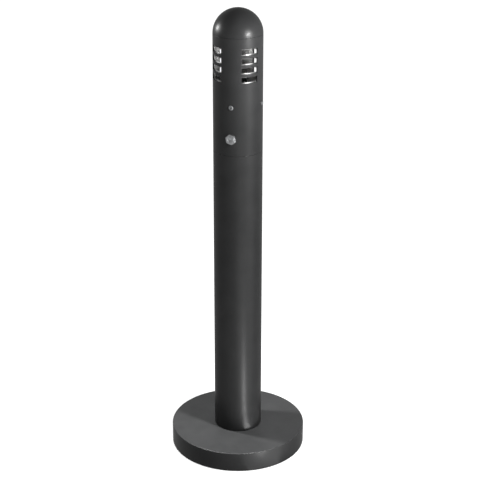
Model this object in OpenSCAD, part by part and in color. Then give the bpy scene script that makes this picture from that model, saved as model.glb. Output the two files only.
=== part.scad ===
// Free-standing ashtray bin: a round post on a heavy disc base, with a domed lift-off head.
// The head has four groups of stub slots and a cam lock, and a butt liner stands in the post.
// Millimetres, +Z up, origin on the floor under the centre of the base.

/* [Overall] */
// Height from the floor to the top of the dome
total_h = 1012; // [800:1:1250]
// Outside diameter of the post and the head
tube_d = 106; // [98:1:130]
// Wall of the post and the head
tube_wall = 3; // [2:0.5:3.5]
// Length of the head from its lower edge to the joint with the dome
head_len = 252; // [246:1:320]

/* [Base] */
// Diameter of the base
base_d = 302; // [250:1:420]
// Height of the top of the base above the floor
base_h = 46; // [38:1:60]
// Sheet thickness of the base cover
cover_wall = 2.5; // [2:0.5:4]
// Outer edge radius of the base cover
cover_edge_r = 2; // [1:0.5:2]
// Diameter of the rubber pads
pad_d = 28; // [20:1:40]
// How far the rubber pads stand below the base
pad_proud = 1.5; // [1:0.5:4]
// Depth of the pockets that hold the pads
pad_pocket = 3; // [2:0.5:5]
// Distance of the pads from the rim of the base
pad_inset = 25; // [20:1:40]
// Number of rubber pads
pad_count = 4; // [3:1:8]

/* [Base fixing] */
// Thread diameter of the bolts that hold the post to the base
bolt_d = 10; // [8:1:12]
// Radius of the bolt circle
bolt_circle_r = 33; // [24:1:34]
// Number of bolts
bolt_count = 4; // [3:1:6]
// Thickness of the plate welded into the foot of the post
foot_plate_h = 10; // [8:1:16]

/* [Slots] */
// Height of one slot in the head
slot_h = 13; // [8:0.5:14]
// Distance between slot rows
slot_pitch = 19.6; // [19:0.2:24]
// Number of slot rows
slot_rows = 4; // [2:1:4]
// Angle that one slot spans
slot_angle = 41.2; // [24:0.2:52]
// Distance of the middle of the slots below the joint with the dome
slot_drop = 58; // [54:0.5:70]
// How far the stub sleeve shows above and below inside each slot
sleeve_lip = 1; // [0.5:0.25:2]
// Angle by which the stub sleeve's openings pass each end of a slot
sleeve_side = 2; // [0:0.5:3]
// Wall of the stub sleeve
sleeve_wall = 1.2; // [0.8:0.1:2]

/* [Rivets] */
// Flange diameter of the head rivets
rivet_flange_d = 10; // [8:0.5:12]
// Shank diameter of the head rivets
rivet_shank_d = 4.8; // [4:0.1:6]
// Distance of the head rivets below the joint with the dome
rivet_drop = 146; // [128:1:160]

/* [Coupling] */
// Wall of the coupling sleeve between post and head
coupling_wall = 2.5; // [2:0.25:3]
// Length of the coupling sleeve inside the post
coupling_down = 60; // [40:1:100]
// Length of the coupling sleeve inside the head
coupling_up = 62; // [56:1:80]
// Radial gap between the coupling sleeve and the head
coupling_gap = 0.3; // [0.2:0.05:0.6]

/* [Lock] */
// Height of the lock above the seam
lock_up = 38; // [34:0.5:42]
// Width of the hexagonal bezel across its corners
bezel_d = 23.5; // [20:0.5:26]
// Thread diameter of the lock barrel
barrel_d = 16; // [14:0.5:18]
// Diameter of the turning plug
plug_d = 11; // [9:0.5:12]
// Depth of the cam's outer face inside the outside of the head
cam_depth = 13; // [12:0.5:14]
// Width of the cam
cam_w = 14; // [10:0.5:16]
// Thickness of the cam
cam_t = 3; // [2:0.5:4]

/* [Liner] */
// How far the rim of the liner lies below the joint between post and head
liner_drop = 17; // [12:1:80]
// Gap all round between the liner and the coupling sleeve
liner_gap = 3.7; // [3:0.1:8]
// Wall of the liner
liner_wall = 1; // [0.8:0.1:2]
// Radius of the rolled rim of the liner
rim_r = 1.6; // [1.2:0.1:2]
// Diameter of the bail's pivot ends
bail_d = 4; // [3:0.5:5]

/* [Hidden] */
$fn = 96;
// Clearances: turning fit, seat between lifted-off pieces, push fit
run_gap = 0.05;
seat_gap = 0.3;
push_gap = 0.05;
eps = 0.01;

// Post and head tube
tube_r = tube_d / 2;
bore_r = tube_r - tube_wall;
dome_z = total_h - tube_r;
seam_z = dome_z - head_len;
dome_line = 0.5;
spigot_h = 14;
spigot_wall = 3;

// Base and its bolts
base_r = base_d / 2;
ballast_top = base_h - cover_wall;
ballast_r = base_r - cover_wall - 0.5;
pad_ring_r = base_r - pad_inset;
bolt_hole_r = bolt_d / 2 + 0.5;
washer_r = bolt_d;
washer_h = 2;
bolt_head_h = 0.65 * bolt_d;
bolt_seat_z = pad_proud + bolt_head_h + washer_h + 3;
sink_r = washer_r + 1.5;
plate_top = base_h + foot_plate_h;

// Slots: one group faces each of -Y, +X, +Y and -X; rivets stand on the diagonals
slot_mid_z = dome_z - slot_drop;
rivet_z = dome_z - rivet_drop;
sleeve_r = bore_r - 0.2;
sleeve_low = rivet_z - 10;
sleeve_top = dome_z - spigot_h - 2;
rivet_flange_h = 1.6;
rivet_tail_r = 0.75 * rivet_shank_d;
rivet_bore_r = 1.3;

// Coupling sleeve
coupling_r = bore_r - coupling_gap;
coupling_bore_r = coupling_r - coupling_wall;
coupling_top = seam_z + coupling_up;

// Lock, on the diagonal under one rivet; its own frame has +X outwards
lock_dir = 225;
lock_z = seam_z + lock_up;
barrel_r = barrel_d / 2;
plug_r = plug_d / 2;
plug_bore_r = plug_r + run_gap;
saddle_out = 0.9;
bezel_x = tube_r + saddle_out;
bezel_h = 3.6;
bezel_face = bezel_x + bezel_h;
boss_h = 1.2;
boss_r = plug_r + 1.9;
cam_x = tube_r - cam_depth;
cam_len = sqrt(pow(coupling_r - seat_gap, 2) - cam_x * cam_x);
barrel_end = cam_x + 0.4;
nut_d = 25;
nut_h = 5;
nut_x = sqrt(bore_r * bore_r - nut_d * nut_d / 4) - 0.2;
tenon_w = 0.6 * plug_d;
cam_screw_d = 5;
cam_screw_head_r = 4.6;
cam_washer_h = 1;
cam_back = cam_x - cam_t;
key_r = 0.42 * plug_d;
notch_half_w = nut_d / 2 + 2.5;
window_y0 = cam_len - 7;
window_y1 = cam_len + 4;

// Liner and bail
liner_r = coupling_bore_r - liner_gap;
liner_bore_r = liner_r - liner_wall;
liner_z = plate_top + seat_gap;
liner_top = seam_z - liner_drop;
liner_floor_h = 1.5;
rim_mid_r = liner_r + rim_r / 3;
rim_z = liner_top - rim_r;
bail_wire_r = bail_d / 2;
bail_swage = 0.25;
bail_r = rim_mid_r - 1;
bail_z = liner_top + seat_gap + bail_wire_r;
ear_t = 2;
ear_w = 14;
ear_x = liner_bore_r - 6.5;
ear_top = bail_z + bail_wire_r + 4.5;
ear_shelf_z = liner_top - 24;
ear_pad_h = 18;
ear_rivet_r = 2;
ear_rivet_z = ear_shelf_z - ear_pad_h / 2;

paint = [0.16, 0.165, 0.17];
steel = [0.75, 0.76, 0.77];
chrome = [0.85, 0.86, 0.88];
zinc = [0.62, 0.65, 0.67];
iron = [0.30, 0.30, 0.31];
rubber = [0.07, 0.07, 0.07];

// ---------- Shared shapes ----------

// Upright tube from z0 to z1
module ring(r_out, r_in, z0, z1) {
    translate([0, 0, z0])
        difference() {
            cylinder(r = r_out, h = z1 - z0);
            translate([0, 0, -1])
                cylinder(r = r_in, h = z1 - z0 + 2);
        }
}

// Rod or cutter along +X from x0 to x1
module rod_x(r, x0, x1, sides = 96) {
    translate([x0, 0, 0])
        rotate([0, 90, 0])
            cylinder(r = r, h = x1 - x0, $fn = sides);
}

// Children repeated at n equal steps round the post
module around(n, first = 0) {
    for (i = [0 : n - 1])
        rotate([0, 0, first + i * 360 / n])
            children();
}

// Children placed in the lock's frame: +X outwards along its axis
module at_lock() {
    rotate([0, 0, lock_dir])
        translate([0, 0, lock_z])
            children();
}

// Height of the middle of slot row i
function row_z(i) = slot_mid_z + (i - (slot_rows - 1) / 2) * slot_pitch;

// Cutters for every slot: rows of ring sectors with radial ends
module slot_cuts(r_in, r_out, h, angle) {
    around(4)
        rotate([0, 0, -angle / 2])
            for (i = [0 : slot_rows - 1])
                translate([0, 0, row_z(i) - h / 2])
                    rotate_extrude(angle = angle)
                        translate([r_in, 0])
                            square([r_out - r_in, h]);
}

// ---------- Base ----------

module base_cover() {
    color(paint)
        difference() {
            rotate_extrude()
                difference() {
                    union() {
                        translate([0, pad_proud])
                            square([base_r, base_h - cover_edge_r - pad_proud]);
                        translate([0, ballast_top])
                            square([base_r - cover_edge_r, cover_wall]);
                        translate([base_r - cover_edge_r, base_h - cover_edge_r])
                            circle(r = cover_edge_r);
                    }
                    square([base_r - cover_wall, ballast_top]);
                }
            around(bolt_count, 45)
                translate([bolt_circle_r, 0, ballast_top - 1])
                    cylinder(r = bolt_hole_r, h = cover_wall + 2);
        }
}

module ballast_disc() {
    color(iron)
        difference() {
            translate([0, 0, pad_proud])
                cylinder(r = ballast_r, h = ballast_top - pad_proud);
            around(bolt_count, 45)
                translate([bolt_circle_r, 0, 0]) {
                    cylinder(r = bolt_hole_r, h = base_h);
                    cylinder(r = sink_r, h = bolt_seat_z);
                }
            around(pad_count)
                translate([pad_ring_r, 0, 0])
                    cylinder(r = pad_d / 2 + push_gap, h = pad_proud + pad_pocket);
        }
}

module foot_pads() {
    color(rubber)
        around(pad_count)
            translate([pad_ring_r, 0, 0])
                cylinder(r = pad_d / 2, h = pad_proud + pad_pocket);
}

module base_bolts() {
    color(zinc)
        around(bolt_count, 45)
            translate([bolt_circle_r, 0, bolt_seat_z - washer_h - bolt_head_h]) {
                cylinder(r = 0.9 * bolt_d, h = bolt_head_h, $fn = 6);
                cylinder(r = bolt_d / 2, h = plate_top - 1 - bolt_seat_z + washer_h + bolt_head_h);
            }
}

module base_washers() {
    color(zinc)
        around(bolt_count, 45)
            translate([bolt_circle_r, 0, 0])
                ring(washer_r, bolt_d / 2 + push_gap, bolt_seat_z - washer_h, bolt_seat_z);
}

// ---------- Post ----------

module post_foot_plate() {
    color(iron)
        difference() {
            translate([0, 0, base_h])
                cylinder(r = bore_r - push_gap, h = foot_plate_h);
            around(bolt_count, 45)
                translate([bolt_circle_r, 0, base_h - 1])
                    cylinder(r = bolt_d / 2 + push_gap, h = foot_plate_h + 2);
        }
}

module post_tube() {
    color(paint)
        ring(tube_r, bore_r, base_h, seam_z);
}

module coupling_sleeve() {
    color(steel)
        difference() {
            union() {
                ring(bore_r - push_gap, coupling_bore_r, seam_z - coupling_down, seam_z);
                ring(coupling_r, coupling_bore_r, seam_z - 1, coupling_top);
            }
            at_lock() {
                // Open notch: the barrel and nut lift out through it
                translate([0, -notch_half_w, -notch_half_w])
                    cube([tube_r, 2 * notch_half_w, coupling_up]);
                // Closed window: the cam's tip turns up into it and holds the head down
                translate([0, window_y0, -cam_len / 2 - 3.5])
                    cube([tube_r, window_y1 - window_y0, cam_len / 2 + 3.5 + cam_w / 2 + 1]);
            }
        }
}

// ---------- Head ----------

module head_tube() {
    color(paint)
        difference() {
            ring(tube_r, bore_r, seam_z + seat_gap, dome_z);
            slot_cuts(bore_r - 2, tube_r + 2, slot_h, slot_angle);
            around(4, 45)
                translate([0, 0, rivet_z])
                    rod_x(rivet_shank_d / 2 + push_gap, bore_r - 2, tube_r + 2);
            at_lock()
                rod_x(barrel_r + 0.2, bore_r - 4, tube_r + 2);
        }
}

module dome_cap() {
    color(paint)
        union() {
            translate([0, 0, dome_z])
                difference() {
                    sphere(r = tube_r);
                    sphere(r = bore_r);
                    translate([0, 0, -tube_d + dome_line])
                        cylinder(r = tube_d, h = tube_d);
                }
            ring(bore_r - push_gap, bore_r - spigot_wall, dome_z - spigot_h, dome_z + 5);
        }
}

module stub_sleeve() {
    color(steel)
        difference() {
            ring(sleeve_r, sleeve_r - sleeve_wall, sleeve_low, sleeve_top);
            slot_cuts(sleeve_r - 4, bore_r, slot_h - 2 * sleeve_lip, slot_angle + 2 * sleeve_side);
            around(4, 45)
                translate([0, 0, rivet_z])
                    rod_x(rivet_shank_d / 2 + push_gap, sleeve_r - 4, bore_r);
        }
}

module head_rivets() {
    color(zinc)
        around(4, 45)
            translate([0, 0, rivet_z])
                difference() {
                    union() {
                        rod_x(rivet_shank_d / 2, sleeve_r - sleeve_wall - 1, tube_r + 0.5);
                        // Low flange, coned on its outer face
                        translate([tube_r, 0, 0])
                            rotate([0, 90, 0])
                                cylinder(r1 = rivet_flange_d / 2, r2 = rivet_flange_d / 3, h = rivet_flange_h);
                        rod_x(rivet_tail_r, sleeve_r - sleeve_wall - 2.6, sleeve_r - sleeve_wall - 0.3);
                    }
                    rod_x(rivet_bore_r, tube_r - 1, tube_r + 3);
                }
}

// ---------- Lock ----------

module lock_bezel() {
    color(chrome)
        at_lock()
            difference() {
                union() {
                    // Hexagon with a turned chamfer on its front corners
                    intersection() {
                        rotate([12, 0, 0])
                            rod_x(bezel_d / 2, bezel_x, bezel_face, 6);
                        translate([bezel_x, 0, 0])
                            rotate([0, 90, 0])
                                cylinder(r1 = bezel_d / 2 + 2.2, r2 = bezel_d / 2 - 1.8, h = bezel_h);
                    }
                    rod_x(boss_r, bezel_x, bezel_face + boss_h);
                    rod_x(barrel_r, barrel_end, bezel_x + 1);
                }
                rod_x(plug_bore_r, barrel_end - 1, bezel_face + boss_h + 1);
            }
}

module lock_saddle() {
    color(rubber)
        difference() {
            at_lock()
                difference() {
                    rod_x(bezel_d / 2 - 0.6, tube_r - 2.5, bezel_x - eps);
                    rod_x(barrel_r + push_gap, tube_r - 4, bezel_x + 1);
                }
            cylinder(r = tube_r + 0.02, h = total_h, $fn = 720);
        }
}

module lock_nut() {
    color(zinc)
        at_lock()
            difference() {
                rod_x(nut_d / 2, nut_x - nut_h, nut_x, 6);
                rod_x(barrel_r + run_gap, nut_x - nut_h - 1, nut_x + 1);
            }
}

module lock_plug() {
    color(chrome)
        at_lock()
            difference() {
                union() {
                    rod_x(plug_r, cam_x + 0.1, bezel_face + boss_h - 0.5);
                    translate([cam_back, -tenon_w / 2, -tenon_w / 2])
                        cube([cam_t + 1, tenon_w, tenon_w]);
                }
                rod_x(key_r, bezel_face + boss_h - 6, bezel_face + boss_h + 1, 3);
                rod_x(cam_screw_d / 2 + push_gap, cam_back - 1, cam_x + 8);
            }
}

module lock_cam() {
    color(zinc)
        at_lock()
            difference() {
                intersection() {
                    union() {
                        rod_x(cam_w / 2, cam_back, cam_x);
                        translate([cam_back, -cam_w / 2, -cam_len])
                            cube([cam_t, cam_w, cam_len]);
                    }
                    rod_x(cam_len, cam_back - 1, cam_x + 1);
                }
                translate([cam_back - 1, -tenon_w / 2 - push_gap, -tenon_w / 2 - push_gap])
                    cube([cam_t + 2, tenon_w + 2 * push_gap, tenon_w + 2 * push_gap]);
            }
}

module cam_washer() {
    color(zinc)
        at_lock()
            difference() {
                rod_x(cam_screw_head_r + 0.8, cam_back - cam_washer_h, cam_back);
                rod_x(cam_screw_d / 2 + push_gap, cam_back - 3, cam_back + 1);
            }
}

module cam_screw() {
    color(zinc)
        at_lock()
            difference() {
                union() {
                    rod_x(cam_screw_head_r, cam_back - cam_washer_h - 3, cam_back - cam_washer_h);
                    rod_x(cam_screw_d / 2, cam_back - cam_washer_h - 1, cam_x + 7);
                }
                rod_x(2, cam_back - cam_washer_h - 4, cam_back - cam_washer_h - 1.2, 6);
            }
}

// ---------- Liner ----------

module liner_tube() {
    color(zinc)
        difference() {
            ring(liner_r, liner_bore_r, liner_z + liner_floor_h, liner_top - rim_r);
            around(2)
                translate([0, 0, ear_rivet_z])
                    rod_x(ear_rivet_r + push_gap, liner_bore_r - 3, liner_r + 2);
        }
}

module liner_base() {
    color(zinc)
        union() {
            translate([0, 0, liner_z])
                cylinder(r = liner_r, h = liner_floor_h);
            ring(liner_bore_r - push_gap, liner_bore_r - 1, liner_z + 0.5, liner_z + 10);
        }
}

module liner_rim() {
    color(zinc)
        difference() {
            rotate_extrude()
                translate([rim_mid_r, rim_z])
                    circle(r = rim_r);
            ring(liner_r + push_gap, liner_bore_r - push_gap, rim_z - 3, rim_z);
        }
}

module bail_ears() {
    color(zinc)
        around(2)
            difference() {
                union() {
                    translate([ear_x, -ear_w / 2, ear_shelf_z])
                        cube([ear_t, ear_w, ear_top - ear_shelf_z]);
                    intersection() {
                        union() {
                            translate([ear_x, -ear_w / 2, ear_shelf_z])
                                cube([tube_r, ear_w, ear_t]);
                            difference() {
                                translate([ear_x, -ear_w / 2, ear_shelf_z - ear_pad_h])
                                    cube([tube_r, ear_w, ear_pad_h + 1]);
                                cylinder(r = liner_bore_r - 1.6, h = total_h);
                            }
                        }
                        cylinder(r = liner_bore_r - push_gap, h = total_h);
                    }
                }
                translate([0, 0, bail_z])
                    rod_x(bail_wire_r + run_gap, ear_x - 1, ear_x + ear_t + 1);
                translate([0, 0, ear_rivet_z])
                    rod_x(ear_rivet_r + push_gap, ear_x, liner_r);
            }
}

module ear_rivets() {
    color(zinc)
        around(2)
            translate([0, 0, ear_rivet_z]) {
                rod_x(ear_rivet_r, liner_bore_r - 2, liner_r + 0.5);
                rod_x(1.8 * ear_rivet_r, liner_bore_r - 2.9, liner_bore_r - 1.8);
                rod_x(1.8 * ear_rivet_r, liner_r + push_gap, liner_r + 1.2);
            }
}

module bail_handle() {
    color(steel)
        translate([0, 0, bail_z])
            union() {
                rotate_extrude(angle = 180)
                    translate([bail_r, 0])
                        circle(r = bail_wire_r - bail_swage);
                around(2) {
                    rod_x(bail_wire_r, ear_x - 1.2, bail_r + bail_wire_r);
                    rod_x(1.45 * bail_wire_r, ear_x - 2.4, ear_x - 0.4);
                }
            }
}

base_cover();
ballast_disc();
foot_pads();
base_bolts();
base_washers();
post_foot_plate();
post_tube();
coupling_sleeve();
head_tube();
dome_cap();
stub_sleeve();
head_rivets();
lock_bezel();
lock_saddle();
lock_nut();
lock_plug();
lock_cam();
cam_washer();
cam_screw();
liner_tube();
liner_base();
liner_rim();
bail_ears();
ear_rivets();
bail_handle();
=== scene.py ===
"""The looks of a free-standing ashtray bin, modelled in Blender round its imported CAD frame.

The base, post, head, cam lock and butt liner are one class each. A class takes its places from
the frame, models its pieces with Blender's own tools, dresses each piece in its finish and sets
it on its body. Lengths are in metres, +Z is up, and the origin is on the floor under the base.
"""

import logging
import math
from contextlib import contextmanager
from dataclasses import dataclass
from enum import Enum
from functools import cache
from typing import Callable, Iterator, Sequence

import bpy
from mathutils import Matrix, Vector


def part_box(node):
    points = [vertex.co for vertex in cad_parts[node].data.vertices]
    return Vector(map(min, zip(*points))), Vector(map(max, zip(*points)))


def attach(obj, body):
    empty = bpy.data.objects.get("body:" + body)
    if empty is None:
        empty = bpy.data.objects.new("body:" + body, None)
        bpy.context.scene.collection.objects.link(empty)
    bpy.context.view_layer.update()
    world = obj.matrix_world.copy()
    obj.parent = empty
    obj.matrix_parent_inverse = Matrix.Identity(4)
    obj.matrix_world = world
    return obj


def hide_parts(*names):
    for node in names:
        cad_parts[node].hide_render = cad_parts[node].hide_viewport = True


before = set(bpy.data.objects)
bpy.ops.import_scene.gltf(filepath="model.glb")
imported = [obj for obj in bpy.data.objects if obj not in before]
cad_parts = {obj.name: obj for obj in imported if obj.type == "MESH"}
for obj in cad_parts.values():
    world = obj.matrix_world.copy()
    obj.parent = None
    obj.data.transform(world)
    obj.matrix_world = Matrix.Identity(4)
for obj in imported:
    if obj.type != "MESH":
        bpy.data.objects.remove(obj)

LOG = logging.getLogger("ashtray_bin")

MM = 0.001
TURN = math.tau
QUARTER = math.pi / 2
# The clearance between two pieces that fit together
FIT = 0.05 * MM
# Points nearer than this are merged
MERGE = 2e-6
SMOOTH_ANGLE = math.radians(32)
ROUND_STEPS = 144
ARC_STEPS = 4
# The direction of the lock about the post's axis, from +X
LOCK_AZIMUTH = math.radians(225)

Point = tuple[float, float]
Triple = tuple[float, float, float]
Piece = bpy.types.Object
Socket = bpy.types.NodeSocket


class Body(str, Enum):
    """The bodies of the frame that pieces ride on."""

    STAND = "stand"
    HEAD = "head"
    LOCK = "lock"
    LINER = "liner"
    BAIL = "bail"


class Slot(str, Enum):
    """The material slots that the record declares."""

    PAINT = "powder_coat"
    IRON = "ballast_iron"
    RUBBER = "rubber_black"
    STAINLESS = "stainless"
    ALUMINIUM = "aluminium_rivet"
    CHROME = "lock_chrome"
    ZINC = "zinc_plate"
    GALVANISED = "galvanised"
    MILL = "mill_steel"


# ---------- Selecting and editing ----------


def deselect() -> None:
    """Deselects everything, because an operator acts on all that is selected."""
    for other in bpy.context.selected_objects:
        other.select_set(False)


def make_active(piece: Piece) -> None:
    """Selects one piece alone and makes it active.

    Args:
        piece: The object that the next operator acts on.
    """
    deselect()
    piece.select_set(True)
    bpy.context.view_layer.objects.active = piece


@contextmanager
def editing(piece: Piece, mode: str = "VERT") -> Iterator[None]:
    """Opens the piece in edit mode, and leaves edit mode at the end.

    Args:
        piece: The mesh object to edit.
        mode: VERT, EDGE or FACE, the kind of selection to work with.
    """
    make_active(piece)
    bpy.ops.object.mode_set(mode="EDIT")
    bpy.ops.mesh.select_mode(type=mode)
    try:
        yield
    finally:
        bpy.ops.object.mode_set(mode="OBJECT")


def pick_faces(piece: Piece, test: Callable[[Vector], bool]) -> int:
    """Selects the faces whose centre passes the test, and nothing else.

    Args:
        piece: The mesh object, in object mode.
        test: A function of a face's centre.

    Returns:
        The number of faces picked.
    """
    mesh = piece.data
    mesh.vertices.foreach_set("select", [False] * len(mesh.vertices))
    mesh.edges.foreach_set("select", [False] * len(mesh.edges))
    picked = [test(face.center) for face in mesh.polygons]
    mesh.polygons.foreach_set("select", picked)
    bpy.context.tool_settings.mesh_select_mode = (False, False, True)
    return sum(picked)


def use_modifier(piece: Piece, kind: str, **settings: object) -> None:
    """Adds a modifier to a piece and applies it.

    Args:
        piece: The mesh object.
        kind: The modifier's type.
        **settings: The modifier's own settings by name.
    """
    make_active(piece)
    modifier = piece.modifiers.new(kind.lower(), kind)
    for name, value in settings.items():
        setattr(modifier, name, value)
    bpy.ops.object.modifier_apply(modifier=modifier.name)


def cut(piece: Piece, tool: Piece, operation: str = "DIFFERENCE") -> None:
    """Cuts, joins (UNION) or intersects (INTERSECT) a piece with a tool, and removes the tool."""
    use_modifier(piece, "BOOLEAN", operation=operation, object=tool, solver="EXACT")
    bpy.data.objects.remove(tool, do_unlink=True)


def ease_edges(piece: Piece, width: float, degrees: float = 40) -> None:
    """Rounds every edge of a piece that is sharper than an angle."""
    limit = {"limit_method": "ANGLE", "angle_limit": math.radians(degrees)}
    use_modifier(piece, "BEVEL", width=width, segments=2, **limit)


def clean(piece: Piece) -> None:
    """Merges doubled points and turns all faces outwards.

    Args:
        piece: The mesh object.
    """
    with editing(piece):
        bpy.ops.mesh.select_all(action="SELECT")
        bpy.ops.mesh.remove_doubles(threshold=MERGE)
        bpy.ops.mesh.normals_make_consistent(inside=False)


# ---------- Outlines and starting shapes ----------


def arc(centre: Point, radius: float, start: float, end: float, steps: int) -> list[Point]:
    """Points along an arc in an outline's plane.

    Args:
        centre: The arc's centre.
        radius: The arc's radius.
        start: The first point's angle in degrees, from the outline's first axis.
        end: The last point's angle in degrees.
        steps: The number of steps between the two.

    Returns:
        The points, both ends included.
    """
    points = []
    for step in range(steps + 1):
        angle = math.radians(start + (end - start) * step / steps)
        points.append((centre[0] + radius * math.cos(angle), centre[1] + radius * math.sin(angle)))
    return points


def eased(corners: Sequence[Point], radius: float, sharp: Sequence[int] = ()) -> list[Point]:
    """Rounds the corners of a closed outline.

    Args:
        corners: The outline's corners in order, the first not repeated.
        radius: The rounding of each corner.
        sharp: The places in corners of those that stay sharp, such as points on the axis.

    Returns:
        The rounded outline, closed: its last point is its first.
    """
    points: list[Point] = []
    for place_in_list, corner in enumerate(corners):
        if place_in_list in sharp:
            points.append(corner)
            continue
        here = Vector(corner)
        before = Vector(corners[place_in_list - 1]) - here
        after = Vector(corners[(place_in_list + 1) % len(corners)]) - here
        half = before.angle(after) / 2
        reach = min(radius / math.tan(half), 0.45 * before.length, 0.45 * after.length)
        size = reach * math.tan(half)
        middle = here + (before.normalized() + after.normalized()).normalized() * size / math.sin(half)
        first = here + before.normalized() * reach - middle
        last = here + after.normalized() * reach - middle
        for step in range(ARC_STEPS + 1):
            share = step / ARC_STEPS
            spoke = (first * (1 - share) + last * share).normalized() * size
            points.append(tuple(middle + spoke))
    points.append(points[0])
    return points


def trace(name: str, outline: Sequence[Point], upright: bool = True) -> Piece:
    """Draws an outline as a chain of edges, extruded point by point.

    Args:
        name: The new object's name.
        outline: The points in order, as (radius, height) or (x, y).
        upright: True draws in the XZ plane, False in the XY plane.

    Returns:
        The object that holds the chain.
    """
    spots = [Vector((x, 0, y)) if upright else Vector((x, y, 0)) for x, y in outline]
    deselect()
    bpy.ops.mesh.primitive_plane_add(size=MM, location=(0, 0, 0))
    piece = bpy.context.object
    piece.name = name
    with editing(piece):
        bpy.ops.mesh.select_all(action="SELECT")
        bpy.ops.mesh.merge(type="CENTER")
        bpy.ops.transform.translate(value=spots[0])
        for start, end in zip(spots, spots[1:]):
            bpy.ops.mesh.extrude_vertices_move(TRANSFORM_OT_translate={"value": end - start})
    return piece


def lathe(name: str, outline: Sequence[Point], steps: int = ROUND_STEPS) -> Piece:
    """Spins a closed outline, or one that ends on the axis, about the Z axis.

    Args:
        name: The new object's name.
        outline: The points as (radius, height).
        steps: The number of steps in a full turn.

    Returns:
        The turned piece, merged, with its faces outwards.
    """
    piece = trace(name, outline)
    with editing(piece):
        bpy.ops.mesh.select_all(action="SELECT")
        bpy.ops.mesh.spin(steps=steps, angle=TURN, center=(0, 0, 0), axis=(0, 0, 1))
    clean(piece)
    return piece


def fill_outline() -> None:
    """Merges the doubled ends of the outline being edited and fills it with a face."""
    bpy.ops.mesh.select_all(action="SELECT")
    bpy.ops.mesh.remove_doubles(threshold=MERGE)
    bpy.ops.mesh.select_all(action="SELECT")
    bpy.ops.mesh.edge_face_add()


def fixed(name: str) -> Piece:
    """Names the primitive just added and applies its place to its mesh.

    Args:
        name: The name it gets.

    Returns:
        The primitive.
    """
    bpy.context.object.name = name
    bpy.ops.object.transform_apply(location=True, rotation=True, scale=True)
    return bpy.context.object


def rod(name: str, radius: float, low: float, high: float, sides: int = 64) -> Piece:
    """A round or polygonal bar on the Z axis, to shape or to cut with.

    Args:
        name: The new object's name.
        radius: The radius to the corners.
        low: The height of its lower end.
        high: The height of its upper end.
        sides: The number of sides.

    Returns:
        The bar.
    """
    middle = (0, 0, (low + high) / 2)
    deselect()
    bpy.ops.mesh.primitive_cylinder_add(vertices=sides, radius=radius, depth=high - low, location=middle)
    return fixed(name)


def block(name: str, low: Triple, high: Triple) -> Piece:
    """A box to cut with.

    Args:
        name: The new object's name.
        low: Its lowest corner.
        high: Its highest corner.

    Returns:
        The box.
    """
    deselect()
    bpy.ops.mesh.primitive_cube_add(size=1, location=(Vector(low) + Vector(high)) / 2)
    bpy.context.object.scale = Vector(high) - Vector(low)
    return fixed(name)


# ---------- Places ----------


def outward_frame(azimuth: float, height: float) -> Matrix:
    """A frame on the post's axis whose Z points outwards and whose Y points up.

    Args:
        azimuth: The direction of its Z axis about the post, in radians from +X.
        height: Its height above the floor.

    Returns:
        The matrix that takes a piece from the world's frame to this one.
    """
    outwards = Vector((math.cos(azimuth), math.sin(azimuth), 0))
    upwards = Vector((0, 0, 1))
    matrix = Matrix((upwards.cross(outwards), upwards, outwards)).transposed().to_4x4()
    matrix.translation = Vector((0, 0, height))
    return matrix


def middle_height(node: str) -> float:
    """The height of the middle of a CAD node."""
    low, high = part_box(node)
    return (low.z + high.z) / 2


def lock_frame() -> Matrix:
    """The outward frame on the lock's axis."""
    return outward_frame(LOCK_AZIMUTH, middle_height("lock_plug"))


def turned(angle: float) -> Matrix:
    """A turn about the post's axis, in radians."""
    return Matrix.Rotation(angle, 4, "Z")


def place(piece: Piece, matrix: Matrix) -> Piece:
    """Moves a piece by a matrix and applies the move to its mesh.

    Args:
        piece: The mesh object at the origin.
        matrix: The move.

    Returns:
        The same piece.
    """
    make_active(piece)
    piece.matrix_world = matrix
    bpy.context.view_layer.update()
    bpy.ops.object.transform_apply(location=True, rotation=True, scale=True)
    return piece


# ---------- Finishes ----------


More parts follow.
